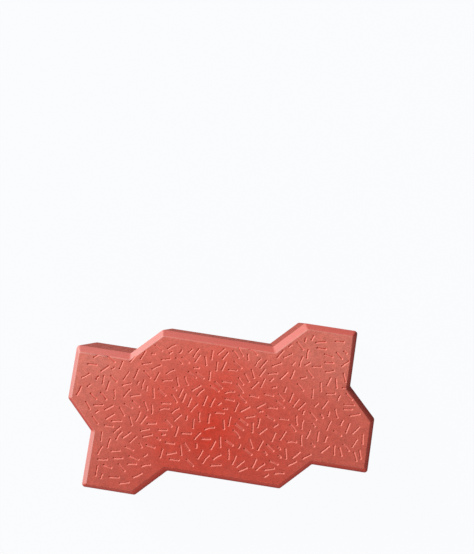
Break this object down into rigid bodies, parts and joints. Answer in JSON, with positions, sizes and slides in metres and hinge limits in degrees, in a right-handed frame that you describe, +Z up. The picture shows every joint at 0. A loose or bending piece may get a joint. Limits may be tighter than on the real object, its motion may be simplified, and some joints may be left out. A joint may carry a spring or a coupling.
{
  "type": "concrete paving stone",
  "caption": "Zigzag-edged interlocking concrete paving stone with a chamfered wear face textured with short random grooves and a flat bed face.",
  "frame": {"origin": "centre of the bed face, on the floor the stone lies on", "axes": "+X along the long axis of the laying module, +Y across it in plan, +Z up out of the wear face"},
  "size_m": [0.2388, 0.1264, 0.06],
  "materials": {
    "red_concrete": "matt, pigmented through"
  },
  "bodies": {
    "root": {"paving_stone": "red_concrete"}
  },
  "joints": []
}
